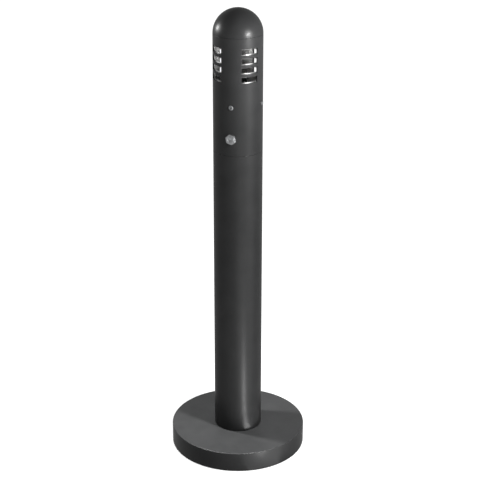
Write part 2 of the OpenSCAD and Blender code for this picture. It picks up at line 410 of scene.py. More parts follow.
class NodeSheet:
    """One material's node tree, with short ways to add nodes to it."""

    def __init__(self, name: str) -> None:
        """Starts the material with its shader and its Object coordinates.

        Args:
            name: The material's name.
        """
        self.material = bpy.data.materials.new(name)
        self.material.use_nodes = True
        self.tree = self.material.node_tree
        self.tree.nodes.clear()
        self.shader = self.tree.nodes.new("ShaderNodeBsdfPrincipled")
        output = self.tree.nodes.new("ShaderNodeOutputMaterial")
        self.tree.links.new(self.shader.outputs["BSDF"], output.inputs["Surface"])
        self.spot = self.tree.nodes.new("ShaderNodeTexCoord").outputs["Object"]

    def fill(self, node: bpy.types.Node, **inputs: object) -> None:
        """Sets a node's inputs, or joins them where a socket is given.

        Args:
            node: The node.
            **inputs: A value or a socket for each input, named with _ for each space.
        """
        for name, value in inputs.items():
            target = node.inputs[name.replace("_", " ")]
            if isinstance(value, Socket):
                self.tree.links.new(value, target)
            else:
                target.default_value = value

    def add(self, kind: str, output: str, **inputs: object) -> Socket:
        """Adds a node.

        Args:
            kind: Its type, without the prefix that all shader nodes share.
            output: The name of the output to give.
            **inputs: A value or a socket for each input, named with _ for each space.

        Returns:
            The output.
        """
        node = self.tree.nodes.new(f"ShaderNode{kind}")
        self.fill(node, **inputs)
        return node.outputs[output]

    def stretched(self, scale: Triple) -> Socket:
        """Object coordinates scaled by a factor along each axis."""
        return self.add("Mapping", "Vector", Vector=self.spot, Scale=scale)

    def noise(self, scale: float, detail: float = 3, vector: Socket | None = None) -> Socket:
        """A noise from 0 to 1, with so many waves per metre, on Object coordinates or a vector."""
        return self.add("TexNoise", "Fac", Vector=vector or self.spot, Scale=scale, Detail=detail)

    def cells(self, scale: float) -> Socket:
        """The random grey of each cell, with so many cells per metre."""
        return self.add("TexVoronoi", "Color", Vector=self.spot, Scale=scale)

    def spread(self, source: Socket, low: float, high: float, ends: Point = (0.3, 0.7)) -> Socket:
        """Maps a texture, from one end's value to the other's, to a range of numbers."""
        limits = {"From_Min": ends[0], "From_Max": ends[1], "To_Min": low, "To_Max": high}
        return self.add("MapRange", "Result", Value=source, **limits)

    def bump(self, height: Socket, strength: float, depth: float, **under: Socket) -> Socket:
        """A bump whose full range stands for a depth. Normal= names another that it lies on."""
        return self.add("Bump", "Normal", Height=height, Strength=strength, Distance=depth, **under)

    def blend(self, source: Socket, dark: Triple, light: Triple, ends: Point = (0.3, 0.7)) -> Socket:
        """Maps a texture to a colour between two.

        Args:
            source: The texture.
            dark: The colour at its low end.
            light: The colour at its high end.
            ends: The texture's two values at which the ends are reached.

        Returns:
            The colour.
        """
        colour = self.add("ValToRGB", "Color", Fac=source)
        first, last = colour.node.color_ramp.elements
        first.position, last.position = ends
        first.color, last.color = (*dark, 1), (*light, 1)
        return colour


@dataclass(frozen=True)
class Finish:
    """A surface finish: a name, the slot that it belongs to, and its colours.

    Attributes:
        name: The material's name.
        slot: The record's slot. It is not used.
        dark: The darker of its two colours.
        light: The lighter of its two colours.
        smooth: Its lowest roughness.
        rough: Its highest roughness.
    """

    name: str
    slot: Slot
    dark: Triple
    light: Triple
    smooth: float
    rough: float

    @cache
    def material(self) -> bpy.types.Material:
        """Builds the material once, and gives the same one after that."""
        sheet = NodeSheet(self.name)
        sheet.fill(sheet.shader, **self.inputs(sheet))
        return sheet.material

    def inputs(self, sheet: NodeSheet) -> dict[str, object]:
        """Adds the finish's nodes. Each kind of finish has its own.

        Args:
            sheet: The material's node tree.

        Returns:
            A value or a socket for each of the shader's inputs.
        """
        raise NotImplementedError

    def colour(self, sheet: NodeSheet, texture: Socket, ends: Point = (0.3, 0.7)) -> Socket:
        """The finish's colour, between its two by a texture."""
        return sheet.blend(texture, self.dark, self.light, ends)

    def gloss(self, sheet: NodeSheet, texture: Socket, ends: Point = (0.3, 0.7)) -> Socket:
        """The finish's roughness, between its two by a texture."""
        return sheet.spread(texture, self.smooth, self.rough, ends)


@dataclass(frozen=True)
class PowderCoat(Finish):
    """Baked powder paint: fine orange peel, slight clouding, a satin gloss.

    Attributes:
        specular: The specular level.
    """

    specular: float = 0.5

    def inputs(self, sheet: NodeSheet) -> dict[str, object]:
        """Clouds the colour, varies the gloss and adds orange peel over a slow waviness."""
        waves = sheet.bump(sheet.noise(45, 2), 0.10, 0.25 * MM)
        return {
            "Specular_IOR_Level": self.specular,
            "Base_Color": self.colour(sheet, sheet.noise(22, 6)),
            "Roughness": self.gloss(sheet, sheet.noise(70, 5)),
            "Normal": sheet.bump(sheet.noise(900, 2), 0.16, 0.05 * MM, Normal=waves),
        }


@dataclass(frozen=True)
class Brushed(Finish):
    """Bare steel with fine lines from rolling or brushing.

    Attributes:
        grain: Waves per metre along X, Y and Z. The lines run along the smallest.
    """

    grain: Triple = (30, 30, 2600)

    def inputs(self, sheet: NodeSheet) -> dict[str, object]:
        """Stretches a noise into lines for colour and bump."""
        lines = sheet.noise(1, 4, sheet.stretched(self.grain))
        return {
            "Metallic": 1.0,
            "Base_Color": self.colour(sheet, lines, (0.35, 0.65)),
            "Roughness": self.gloss(sheet, sheet.noise(60, 4)),
            "Normal": sheet.bump(lines, 0.15, 0.02 * MM),
        }


@dataclass(frozen=True)
class Plated(Finish):
    """A plated or polished metal with faint stains and fine scratches.

    Attributes:
        scratch: How strong the scratches are.
    """

    scratch: float = 0.1

    def inputs(self, sheet: NodeSheet) -> dict[str, object]:
        """Stains the colour, and scratches the gloss and the surface."""
        marks = sheet.noise(1, 5, sheet.stretched((2400, 260, 1400)))
        return {
            "Metallic": 1.0,
            "Base_Color": self.colour(sheet, sheet.noise(180, 5)),
            "Roughness": self.gloss(sheet, marks),
            "Normal": sheet.bump(marks, self.scratch, 0.02 * MM),
        }


@dataclass(frozen=True)
class Spangled(Finish):
    """Hot-dip zinc, with its crystal flakes."""

    def inputs(self, sheet: NodeSheet) -> dict[str, object]:
        """Gives each flake its own grey and gloss, on a slightly uneven skin."""
        flakes = sheet.cells(140)
        return {
            "Metallic": 0.9,
            "Base_Color": self.colour(sheet, flakes, (0.1, 0.9)),
            "Roughness": self.gloss(sheet, flakes, (0.1, 0.9)),
            "Normal": sheet.bump(sheet.noise(320, 4), 0.2, 0.05 * MM),
        }


@dataclass(frozen=True)
class Cast(Finish):
    """Raw iron or steel with a grainy skin.

    Attributes:
        grain: Waves per metre of the skin.
        relief: The depth of the skin's grain.
    """

    grain: float = 500
    relief: float = 0.4 * MM

    def inputs(self, sheet: NodeSheet) -> dict[str, object]:
        """Mottles the colour and roughens the skin with grain over broad unevenness."""
        broad = sheet.bump(sheet.noise(60, 3), 0.3, self.relief)
        return {
            "Metallic": 0.75,
            "Base_Color": self.colour(sheet, sheet.noise(90, 7)),
            "Roughness": self.gloss(sheet, sheet.noise(240, 5)),
            "Normal": sheet.bump(sheet.noise(self.grain, 4), 0.4, self.relief / 2, Normal=broad),
        }


@dataclass(frozen=True)
class Moulded(Finish):
    """Moulded rubber with a fine matt grain and a dusty bloom."""

    def inputs(self, sheet: NodeSheet) -> dict[str, object]:
        """Adds the bloom to the colour and the grain to the surface."""
        return {
            "Specular_IOR_Level": 0.35,
            "Base_Color": self.colour(sheet, sheet.noise(60, 6)),
            "Roughness": self.gloss(sheet, sheet.noise(300, 3)),
            "Normal": sheet.bump(sheet.noise(1500, 3), 0.35, 0.06 * MM),
        }


PAINT = PowderCoat(
    "dark_powder_coat", Slot.PAINT, (0.012, 0.0122, 0.0124), (0.015, 0.0152, 0.0154), 0.34, 0.40,
    specular=0.12,
)
STEEL = Brushed("brushed_steel", Slot.STAINLESS, (0.44, 0.44, 0.44), (0.56, 0.56, 0.55), 0.22, 0.34)
WIRE = Brushed(
    "drawn_wire", Slot.STAINLESS, (0.55, 0.55, 0.54), (0.70, 0.70, 0.69), 0.22, 0.34, grain=(900, 900, 900)
)
CHROME = Plated("bright_chrome", Slot.CHROME, (0.40, 0.41, 0.42), (0.55, 0.56, 0.57), 0.05, 0.14)
ALUMINIUM = Plated(
    "rivet_aluminium", Slot.ALUMINIUM, (0.17, 0.175, 0.18), (0.25, 0.255, 0.26), 0.38, 0.52, scratch=0.2
)
ZINC = Plated("zinc_plating", Slot.ZINC, (0.50, 0.51, 0.48), (0.64, 0.65, 0.62), 0.28, 0.46, scratch=0.2)
SPANGLE = Spangled("galvanised_sheet", Slot.GALVANISED, (0.40, 0.42, 0.43), (0.62, 0.64, 0.65), 0.32, 0.55)
IRON = Cast("cast_iron", Slot.IRON, (0.030, 0.029, 0.028), (0.075, 0.070, 0.065), 0.55, 0.78)
MILL = Cast(
    "rolled_steel_plate", Slot.MILL, (0.16, 0.16, 0.165), (0.27, 0.27, 0.27), 0.38, 0.60,
    grain=900, relief=0.1 * MM,
)
RUBBER = Moulded("black_rubber", Slot.RUBBER, (0.014, 0.014, 0.014), (0.026, 0.026, 0.025), 0.62, 0.80)


def settle(piece: Piece, finish: Finish, body: Body, node: str) -> None:
    """Smooths and dresses a finished piece, and sets it on its body in place of a CAD node.

    Args:
        piece: The finished mesh, with its place in its mesh.
        finish: The finish it gets.
        body: The body it rides on.
        node: The CAD node it stands for.
    """
    make_active(piece)
    bpy.ops.object.shade_smooth_by_angle(angle=SMOOTH_ANGLE)
    use_modifier(piece, "WEIGHTED_NORMAL", keep_sharp=True)
    piece.data.name = piece.name
    piece.data.materials.clear()
    piece.data.materials.append(finish.material())
    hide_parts(node)
    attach(piece, body.value)
    LOG.info("%s: %d faces on %s", piece.name, len(piece.data.polygons), body.value)


def settle_round(first: Piece, spots: Sequence[Matrix], finish: Finish, body: Body, node: str) -> None:
    """Copies a piece, mesh and all, to each of its spots, and settles them all.

    Args:
        first: The piece at the origin. Its name ends in 1, and the copies count on from it.
        spots: The place of each piece.
        finish: The finish they get.
        body: The body they ride on.
        node: The CAD node they stand for.
    """
    pieces = [first]
    for number in range(2, len(spots) + 1):
        twin = first.copy()
        twin.data = first.data.copy()
        twin.name = f"{first.name[:-1]}{number}"
        bpy.context.collection.objects.link(twin)
        pieces.append(twin)
    for piece, spot in zip(pieces, spots):
        settle(place(piece, spot), finish, body, node)


def dress_node(node: str, finish: Finish) -> None:
    """Gives a CAD node whose shape is already right its finish.

    Args:
        node: The node's name.
        finish: The finish it gets.
    """
    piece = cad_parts[node]
    for holder in piece.material_slots:
        holder.material = finish.material()
    if not piece.material_slots:
        piece.data.materials.append(finish.material())
    LOG.info("%s: CAD node dressed in %s", node, finish.name)


# ---------- Sub-assemblies ----------


@dataclass
class BaseUnit:
    """The painted base cover, the ballast under it, and what holds and carries it.

    Attributes:
        cover_wall: The cover's sheet thickness.
        edge_radius: The cover's outer edge radius.
        hem_radius: The rounding of the cover's other edges.
        pad_radius: The radius of a rubber pad.
        pad_inset: The distance of the pads from the rim.
        pad_height: The height of a pad.
        pad_hollow: The depth of the hollow inside a pad's foot ring.
        bolt_radius: The radius of a bolt's thread.
        bolt_circle: The radius of the circle of bolts.
    """

    cover_wall: float = 2.5 * MM
    edge_radius: float = 2 * MM
    hem_radius: float = 0.5 * MM
    pad_radius: float = 14 * MM
    pad_inset: float = 25 * MM
    pad_height: float = 4.5 * MM
    pad_hollow: float = 0.6 * MM
    bolt_radius: float = 5 * MM
    bolt_circle: float = 33 * MM

    def build(self) -> None:
        """Models and dresses all of the base."""
        self.cover()
        self.pads()
        self.bolts()
        dress_node("ballast_disc", IRON)
        dress_node("base_washers", ZINC)

    def cover(self) -> None:
        """Spins the pressed cover, with its rolled outer edge."""
        low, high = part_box("base_cover")
        edge, hem, radius = self.edge_radius, self.hem_radius, high.x
        inner, under = radius - self.cover_wall, high.z - self.cover_wall
        outline = [(0, high.z)]
        outline += [(share * (radius - edge), high.z) for share in (0.3, 0.6, 0.85, 0.98)]
        outline += arc((radius - edge, high.z - edge), edge, 90, 0, 8)
        outline += arc((radius - hem, low.z + hem), hem, 0, -90, 4)
        outline += arc((inner + hem, low.z + hem), hem, -90, -180, 4)
        outline += arc((inner - hem, under - hem), hem, 0, 90, 4)
        outline.append((0, under))
        settle(lathe("base_cover_shell", outline, steps=216), PAINT, Body.STAND, "base_cover")

    def pads(self) -> None:
        """Turns one rubber pad with a shallow hollow in its foot, and copies it round."""
        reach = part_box("base_cover")[1].x - self.pad_inset
        radius, top, hollow = self.pad_radius, self.pad_height, self.pad_hollow
        corners = [(0, hollow), (0.42 * radius, hollow), (0.46 * radius, 0)]
        corners += [(radius, 0), (radius, top), (0, top)]
        pad = lathe("foot_pad_1", eased(corners, 0.7 * MM, sharp=(0, 1, 2, 5))[:-1], steps=48)
        spots = [turned(number * QUARTER) @ Matrix.Translation((reach, 0, 0)) for number in range(4)]
        settle_round(pad, spots, RUBBER, Body.STAND, "foot_pads")

    def bolts(self) -> None:
        """Models one hexagon bolt, chamfered under its head, and copies it round."""
        low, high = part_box("base_bolts")
        thread, start, end = self.bolt_radius, low.z, high.z
        head_high = 1.3 * thread
        bolt = rod("base_bolt_1", 1.8 * thread, start, start + head_high, sides=6)
        dome = [(0, start), (1.35 * thread, start), (2 * thread, start + 0.3 * head_high)]
        dome += [(2 * thread, end), (0, end)]
        cut(bolt, lathe("bolt_chamfer", dome, steps=48), "INTERSECT")
        ease_edges(bolt, 0.25 * MM)
        shank = [(0, start + MM), (thread, start + MM), (thread, end - MM)]
        shank += [(thread - 0.9 * MM, end), (0, end)]
        cut(bolt, lathe("bolt_shank", shank, steps=48), "UNION")
        out = Matrix.Translation((self.bolt_circle, 0, 0))
        spots = [turned(number * QUARTER + QUARTER / 2) @ out for number in range(4)]
        settle_round(bolt, spots, ZINC, Body.STAND, "base_bolts")


@dataclass
class Post:
    """The post, its foot plate, and the coupling sleeve that carries the head.

    Attributes:
        wall: The wall of the post.
        edge: The rounding of the post's ends.
        sleeve_wall: The wall of the coupling sleeve.
        sleeve_gap: The gap between the sleeve and the head.
        notch_half: Half the width of the notch that clears the lock.
        window_near: The near edge of the cam's window from the lock's axis.
        window_far: The far edge of the window.
        window_drop: How far the window reaches below the lock's axis.
        window_rise: How far it reaches above.
        cutter_reach: How far the cutters reach from the post's axis and above the lock's.
    """

    wall: float = 3 * MM
    edge: float = 0.5 * MM
    sleeve_wall: float = 2.5 * MM
    sleeve_gap: float = 0.3 * MM
    notch_half: float = 15 * MM
    window_near: float = 21.9 * MM
    window_far: float = 32.9 * MM
    window_drop: float = 18 * MM
    window_rise: float = 8 * MM
    cutter_reach: float = 60 * MM

    def build(self) -> None:
        """Models and dresses the post and its sleeve."""
        self.tube()
        self.sleeve()
        dress_node("post_foot_plate", MILL)

    def tube(self) -> None:
        """Spins the post with eased ends."""
        low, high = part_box("post_tube")
        bore = high.x - self.wall
        corners = [(bore, low.z), (high.x, low.z), (high.x, high.z), (bore, high.z)]
        post = lathe("post_shell", eased(corners, self.edge), steps=176)
        settle(post, PAINT, Body.STAND, "post_tube")

    def sleeve(self) -> None:
        """Spins the stepped sleeve, then cuts the lock's notch and the cam's window."""
        low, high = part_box("coupling_sleeve")
        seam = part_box("post_tube")[1].z
        upper = high.x + FIT - self.sleeve_gap
        bore = upper - self.sleeve_wall
        corners = [(bore, low.z), (high.x, low.z), (high.x, seam), (upper, seam + 0.2 * MM)]
        corners += [(upper, high.z), (bore, high.z)]
        sleeve = lathe("coupling_guide", eased(corners, 0.4 * MM, sharp=(2, 3)), steps=160)
        half, reach = self.notch_half, self.cutter_reach
        notch = block("notch_cutter", (-half, -half, 0), (half, reach, reach))
        cut(sleeve, place(notch, lock_frame()))
        near, far = (self.window_near, -self.window_drop, 0), (self.window_far, self.window_rise, reach)
        cut(sleeve, place(block("window_cutter", near, far), lock_frame()))
        settle(sleeve, STEEL, Body.STAND, "coupling_sleeve")


@dataclass
class SlottedTube:
    """A tube with four groups of slots, one above another in each group.

    Attributes:
        name: The piece's name.
        radius: The outside radius.
        wall: The wall.
        low: The height of its lower end.
        high: The height of its upper end.
        slot_angle: The angle that one slot spans.
        slot_height: The height of one slot.
        rows: The heights of the middles of the rows.
        edge: The rounding of its edges.
        slot_steps: Steps round the tube across a slot.
        land_steps: Steps across the land between two groups.
    """

    name: str
    radius: float
    wall: float
    low: float
    high: float
    slot_angle: float
    slot_height: float
    rows: Sequence[float]
    edge: float
    slot_steps: int = 20
    land_steps: int = 24

    def levels(self) -> list[float]:
        """The heights at which the wall has an edge loop, from the bottom up."""
        sides = [row + side * self.slot_height / 2 for row in self.rows for side in (-1, 1)]
        return sorted([self.low, self.high, *sides])

    def in_slot(self, centre: Vector) -> bool:
        """True if a face's centre lies inside one of the slots.

        Args:
            centre: The face's centre.

        Returns:
            True inside a slot.
        """
        angle = math.atan2(centre.y, centre.x) % QUARTER
        side = min(angle, QUARTER - angle)
        level = any(abs(centre.z - row) < self.slot_height / 2 for row in self.rows)
        return level and side < self.slot_angle / 2

    def build(self) -> Piece:
        """Spins the wall sector by sector, opens the slots and gives the wall its thickness.

        Returns:
            The tube as one closed shell.
        """
        sectors = ((self.slot_steps, self.slot_angle), (self.land_steps, QUARTER - self.slot_angle))
        piece = trace(self.name, [(self.radius, height) for height in self.levels()])
        with editing(piece):
            bpy.ops.mesh.select_all(action="SELECT")
            for steps, angle in sectors * 4:
                bpy.ops.mesh.spin(steps=steps, angle=angle, center=(0, 0, 0), axis=(0, 0, 1))
        clean(piece)
        first = piece.data.polygons[0]
        if first.normal.dot(Vector((first.center.x, first.center.y, 0))) < 0:
            with editing(piece):
                bpy.ops.mesh.select_all(action="SELECT")
                bpy.ops.mesh.flip_normals()
        spun_back = piece.data.vertices[-1].co.y < -MM
        place(piece, turned(self.slot_angle / 2 if spun_back else -self.slot_angle / 2))
        opened = pick_faces(piece, self.in_slot)
        with editing(piece, "FACE"):
            bpy.ops.mesh.delete(type="FACE")
        use_modifier(piece, "SOLIDIFY", thickness=self.wall, offset=-1, use_even_offset=True)
        ease_edges(piece, self.edge)
        LOG.info("%s: %d faces opened for slots", self.name, opened)
        return piece


@dataclass
class Head:
    """The lift-off head: slotted tube, dome, stub sleeve and rivets.

    Attributes:
        wall: The wall of the tube and the dome.
        slot_height: The height of one slot.
        slot_pitch: The distance between rows.
        slot_rows: The number of rows.
        slot_angle: The angle that one slot spans.
        slot_drop: The middle of the slots below the joint with the dome.
        lip: How far the stub sleeve shows above and below inside each slot.
        side: The angle by which the stub sleeve's openings pass each end of a slot.
        sleeve_gap: The gap between the tube and the stub sleeve.
        sleeve_wall: The wall of the stub sleeve.
        spigot_wall: The wall of the dome's spigot.
        spigot_rise: How far the spigot reaches up inside the dome.
        joint_line: The height of the fine line under the dome.
        rivet_radius: The radius of a rivet's flange.
        rivet_bore: The radius of the hollow in a rivet.
        shank_radius: The radius of a rivet's shank.
    """

    wall: float = 3 * MM
    slot_height: float = 13 * MM
    slot_pitch: float = 19.6 * MM
    slot_rows: int = 4
    slot_angle: float = math.radians(41.2)
    slot_drop: float = 58 * MM
    lip: float = 1 * MM
    side: float = math.radians(2)
    sleeve_gap: float = 0.2 * MM
    sleeve_wall: float = 1.2 * MM
    spigot_wall: float = 3 * MM
    spigot_rise: float = 5 * MM
    joint_line: float = 0.5 * MM
    rivet_radius: float = 5 * MM
    rivet_bore: float = 2 * MM
    shank_radius: float = 2.4 * MM

    def __post_init__(self) -> None:
        """Takes the head's places from the frame."""
        self.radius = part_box("post_tube")[1].x
        self.ends = [corner.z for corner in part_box("head_tube")]
        middle = self.ends[1] - self.slot_drop
        rows = range(self.slot_rows)
        self.rows = [middle + (row - (self.slot_rows - 1) / 2) * self.slot_pitch for row in rows]
        height = middle_height("head_rivets")
        self.rivet_spots = [outward_frame(QUARTER / 2 + turn * QUARTER, height) for turn in range(4)]

    def build(self) -> None:
        """Models and dresses all of the head."""
        self.tube()
        self.sleeve()
        self.dome()
        self.rivets()

    def drill(self, piece: Piece) -> None:
        """Drills the four rivet holes through a tube's wall.

        Args:
            piece: The tube.
        """
        near, far = self.radius - 8 * MM, self.radius + 5 * MM
        for spot in self.rivet_spots:
            cut(piece, place(rod("rivet_drill", self.shank_radius + 0.1 * MM, near, far, 32), spot))

    def tube(self) -> None:
        """Builds the slotted tube and drills it for the lock and the rivets."""
        size = (self.radius, self.wall, *self.ends, self.slot_angle, self.slot_height)
        piece = SlottedTube("head_shell", *size, rows=self.rows, edge=0.35 * MM).build()
        self.drill(piece)
        drill = rod("lock_drill", 8.2 * MM, self.radius - 10 * MM, self.radius + 5 * MM)
        cut(piece, place(drill, lock_frame()))
        settle(piece, PAINT, Body.HEAD, "head_tube")

    def sleeve(self) -> None:
        """Builds the bright sleeve behind the slots, which shows a lip in each one."""
        low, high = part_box("stub_sleeve")
        radius = self.radius - self.wall - self.sleeve_gap
        opening = (self.slot_angle + 2 * self.side, self.slot_height - 2 * self.lip)
        size = (radius, self.sleeve_wall, low.z, high.z, *opening)
        piece = SlottedTube("stub_guard", *size, rows=self.rows, edge=0.2 * MM).build()
        self.drill(piece)
        settle(piece, STEEL, Body.HEAD, "stub_sleeve")

    def dome(self) -> None:
        """Spins the dome with its spigot, which closes the joint line from behind."""
        low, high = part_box("dome_cap")
        start, bore = high.z - self.radius, self.radius - self.wall
        outside, inside = bore - FIT, bore - FIT - self.spigot_wall
        rise = math.degrees(math.asin(self.joint_line / self.radius))
        inner_rise = math.degrees(math.asin(self.spigot_rise / bore))
        outline = [(inside, low.z), (outside, low.z), (outside, start + self.joint_line)]
        outline += arc((0, start), self.radius, rise, 90, 40)
        outline += arc((0, start), bore, 90, inner_rise, 24)
        outline += [(inside, start + self.spigot_rise), (inside, low.z)]
        settle(lathe("dome_shell", outline, steps=176), PAINT, Body.HEAD, "dome_cap")

    def rivets(self) -> None:
        """Turns one hollow rivet with a domed flange and its set tail, and copies it round."""
        flange, bore, shank, seat = self.rivet_radius, self.rivet_bore, self.shank_radius, self.radius
        tail = seat - self.wall - self.sleeve_gap - self.sleeve_wall
        outline = [(0, seat - MM), (bore, seat - MM), (bore, seat + 1.2 * MM)]
        crown = 2.6 * MM
        outline += arc((crown, seat + MM), 0.6 * MM, 160, 80, 4)
        outline += arc((crown, seat - 1.9 * MM), 3.5 * MM, 84, 50, 5)
        outline += [(flange, seat + 0.35 * MM), (flange, seat - 0.15 * MM), (shank, seat - 0.15 * MM)]
        outline += [(shank, tail), (1.5 * shank, tail - 0.3 * MM), (1.5 * shank, tail - 1.6 * MM)]
        outline += [(1.1 * shank, tail - 2.6 * MM), (0, tail - 2.6 * MM)]
        rivet = lathe("head_rivet_1", outline, steps=40)
        settle_round(rivet, self.rivet_spots, ALUMINIUM, Body.HEAD, "head_rivets")


@dataclass
class CamLock:
    """The cam lock: saddle, bezel, plug, cam, nut and screw, on one axis under a rivet.

    Attributes:
        bezel_radius: The radius of the hexagon to its corners.
        bezel_turn: How far the hexagon stands turned, in degrees.
        bezel_height: The height of the hexagon.
        saddle_out: How far the saddle lifts the bezel off the tube.
        saddle_depth: The depth of the saddle before its back is hollowed.
        boss_radius: The radius of the round boss on the bezel.
        boss_height: The height of the boss.
        barrel_radius: The radius of the threaded barrel.
        plug_radius: The radius of the turning plug.
        key_radius: The radius to the corners of the three-sided key recess.
        key_depth: The depth of the recess.
        cam_depth: The cam's outer face inside the outside of the head.
        cam_width: The width of the cam.
        cam_thickness: The thickness of the cam.
        screw_bore: The radius of the bore for the cam's screw.
    """

    bezel_radius: float = 11.75 * MM
    bezel_turn: float = 12
    bezel_height: float = 3.6 * MM
    saddle_out: float = 0.9 * MM
    saddle_depth: float = 3.4 * MM
    boss_radius: float = 7.4 * MM
    boss_height: float = 1.2 * MM
    barrel_radius: float = 8 * MM
    plug_radius: float = 5.5 * MM
    key_radius: float = 4.6 * MM
    key_depth: float = 6 * MM
    cam_depth: float = 13 * MM
    cam_width: float = 14 * MM
    cam_thickness: float = 3 * MM
    screw_bore: float = 2.55 * MM

    def __post_init__(self) -> None:
        """Works out the lock's levels along its own axis."""
        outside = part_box("post_tube")[1].x
        self.seat = outside + self.saddle_out
        self.face = self.seat + self.bezel_height
        self.front = self.face + self.boss_height
        self.cam_front = self.seat - self.saddle_out - self.cam_depth
        self.cam_back = self.cam_front - self.cam_thickness
        self.tenon_half = 0.6 * self.plug_radius

    def build(self) -> None:
        """Models and dresses all of the lock."""
        self.bezel()
        self.saddle()
        self.plug()
        self.cam()
        for node in ("lock_nut", "cam_washer", "cam_screw"):
            dress_node(node, ZINC)

    def bezel(self) -> None:
        """Shapes the hexagon with a turned chamfer, joins its boss and barrel and bores it."""
        seat, face, front, radius = self.seat, self.face, self.front, self.bezel_radius
        bore, end = self.plug_radius + FIT, self.cam_front + 0.4 * MM
        piece = place(
            rod("bezel_and_barrel", radius, seat, face, sides=6), turned(math.radians(self.bezel_turn))
        )
        chamfer = [(0, seat - MM), (radius + 2 * MM, seat - MM), (radius + 1.2 * MM, face - 1.9 * MM)]
        chamfer += [(radius - 2 * MM, face), (0, face)]
        cut(piece, lathe("bezel_chamfer", chamfer, steps=72), "INTERSECT")
        ease_edges(piece, 0.3 * MM, degrees=30)
        cut(piece, rod("plug_bore", bore, end - 2 * MM, front + 2 * MM, 96))
        boss = [(bore, front), (bore, end), (self.barrel_radius, end), (self.barrel_radius, seat + MM)]
        boss += [(self.boss_radius, seat + 1.2 * MM), (self.boss_radius, front)]
        cut(piece, lathe("lock_boss", eased(boss, 0.35 * MM, sharp=(2, 3, 4)), steps=96), "UNION")
        settle(place(piece, lock_frame()), CHROME, Body.HEAD, "lock_bezel")

    def saddle(self) -> None:
        """Turns the rubber saddle and hollows its back to the curve of the tube."""
        top = self.seat - 0.01 * MM
        back = top - self.saddle_depth
        bore, rim = self.barrel_radius + FIT, self.bezel_radius - 0.6 * MM
        outline = eased([(bore, back), (rim, back), (rim, top), (bore, top)], 0.3 * MM)
        piece = place(lathe("lock_gasket", outline, steps=96), lock_frame())
        low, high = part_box("head_tube")
        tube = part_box("post_tube")[1].x + 0.02 * MM
        cut(piece, rod("tube_form", tube, low.z, high.z, 360))
        settle(piece, RUBBER, Body.HEAD, "lock_saddle")

    def plug(self) -> None:
        """Turns the plug, sinks its three-sided key recess and squares its tenon."""
        radius, half, back = self.plug_radius, self.tenon_half, self.cam_back
        top, foot = self.front - 0.5 * MM, self.cam_front + 0.1 * MM
        corners = [(0, top), (radius, top), (radius, foot), (0, foot)]
        piece = lathe("key_plug", eased(corners, 0.5 * MM, sharp=(0, 2, 3))[:-1], steps=72)
        recess = rod("key_recess", self.key_radius, self.front - self.key_depth, self.front + MM, 3)
        cut(piece, place(recess, turned(math.radians(30))))
        cut(piece, block("plug_tenon", (-half, -half, back), (half, half, self.cam_front + MM)), "UNION")
        cut(piece, rod("screw_bore", self.screw_bore, back - MM, self.cam_front + 8 * MM, 48))
        ease_edges(piece, 0.15 * MM)
        settle(place(piece, lock_frame()), CHROME, Body.LOCK, "lock_plug")

    def cam(self) -> None:
        """Cuts the cam from plate: round at its pivot, with a square hole and a curved tip."""
        half, hole, back = self.cam_width / 2, self.tenon_half + FIT, self.cam_back
        length = lock_frame().translation.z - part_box("lock_cam")[0].z
        side = math.degrees(math.asin(half / length))
        outline = arc((0, 0), half, 0, 180, 24)
        outline += arc((0, 0), length, 270 - side, 270 + side, 12)
        outline.append(outline[0])
        piece = trace("cam_tongue", outline, upright=False)
        with editing(piece):
            fill_outline()
            bpy.ops.mesh.extrude_region_move(TRANSFORM_OT_translate={"value": (0, 0, self.cam_thickness)})
        clean(piece)
        place(piece, Matrix.Translation((0, 0, back)))
        cut(piece, block("cam_hole", (-hole, -hole, back - MM), (hole, hole, back + 9 * MM)))
        ease_edges(piece, 0.3 * MM)
        settle(place(piece, lock_frame()), ZINC, Body.LOCK, "lock_cam")


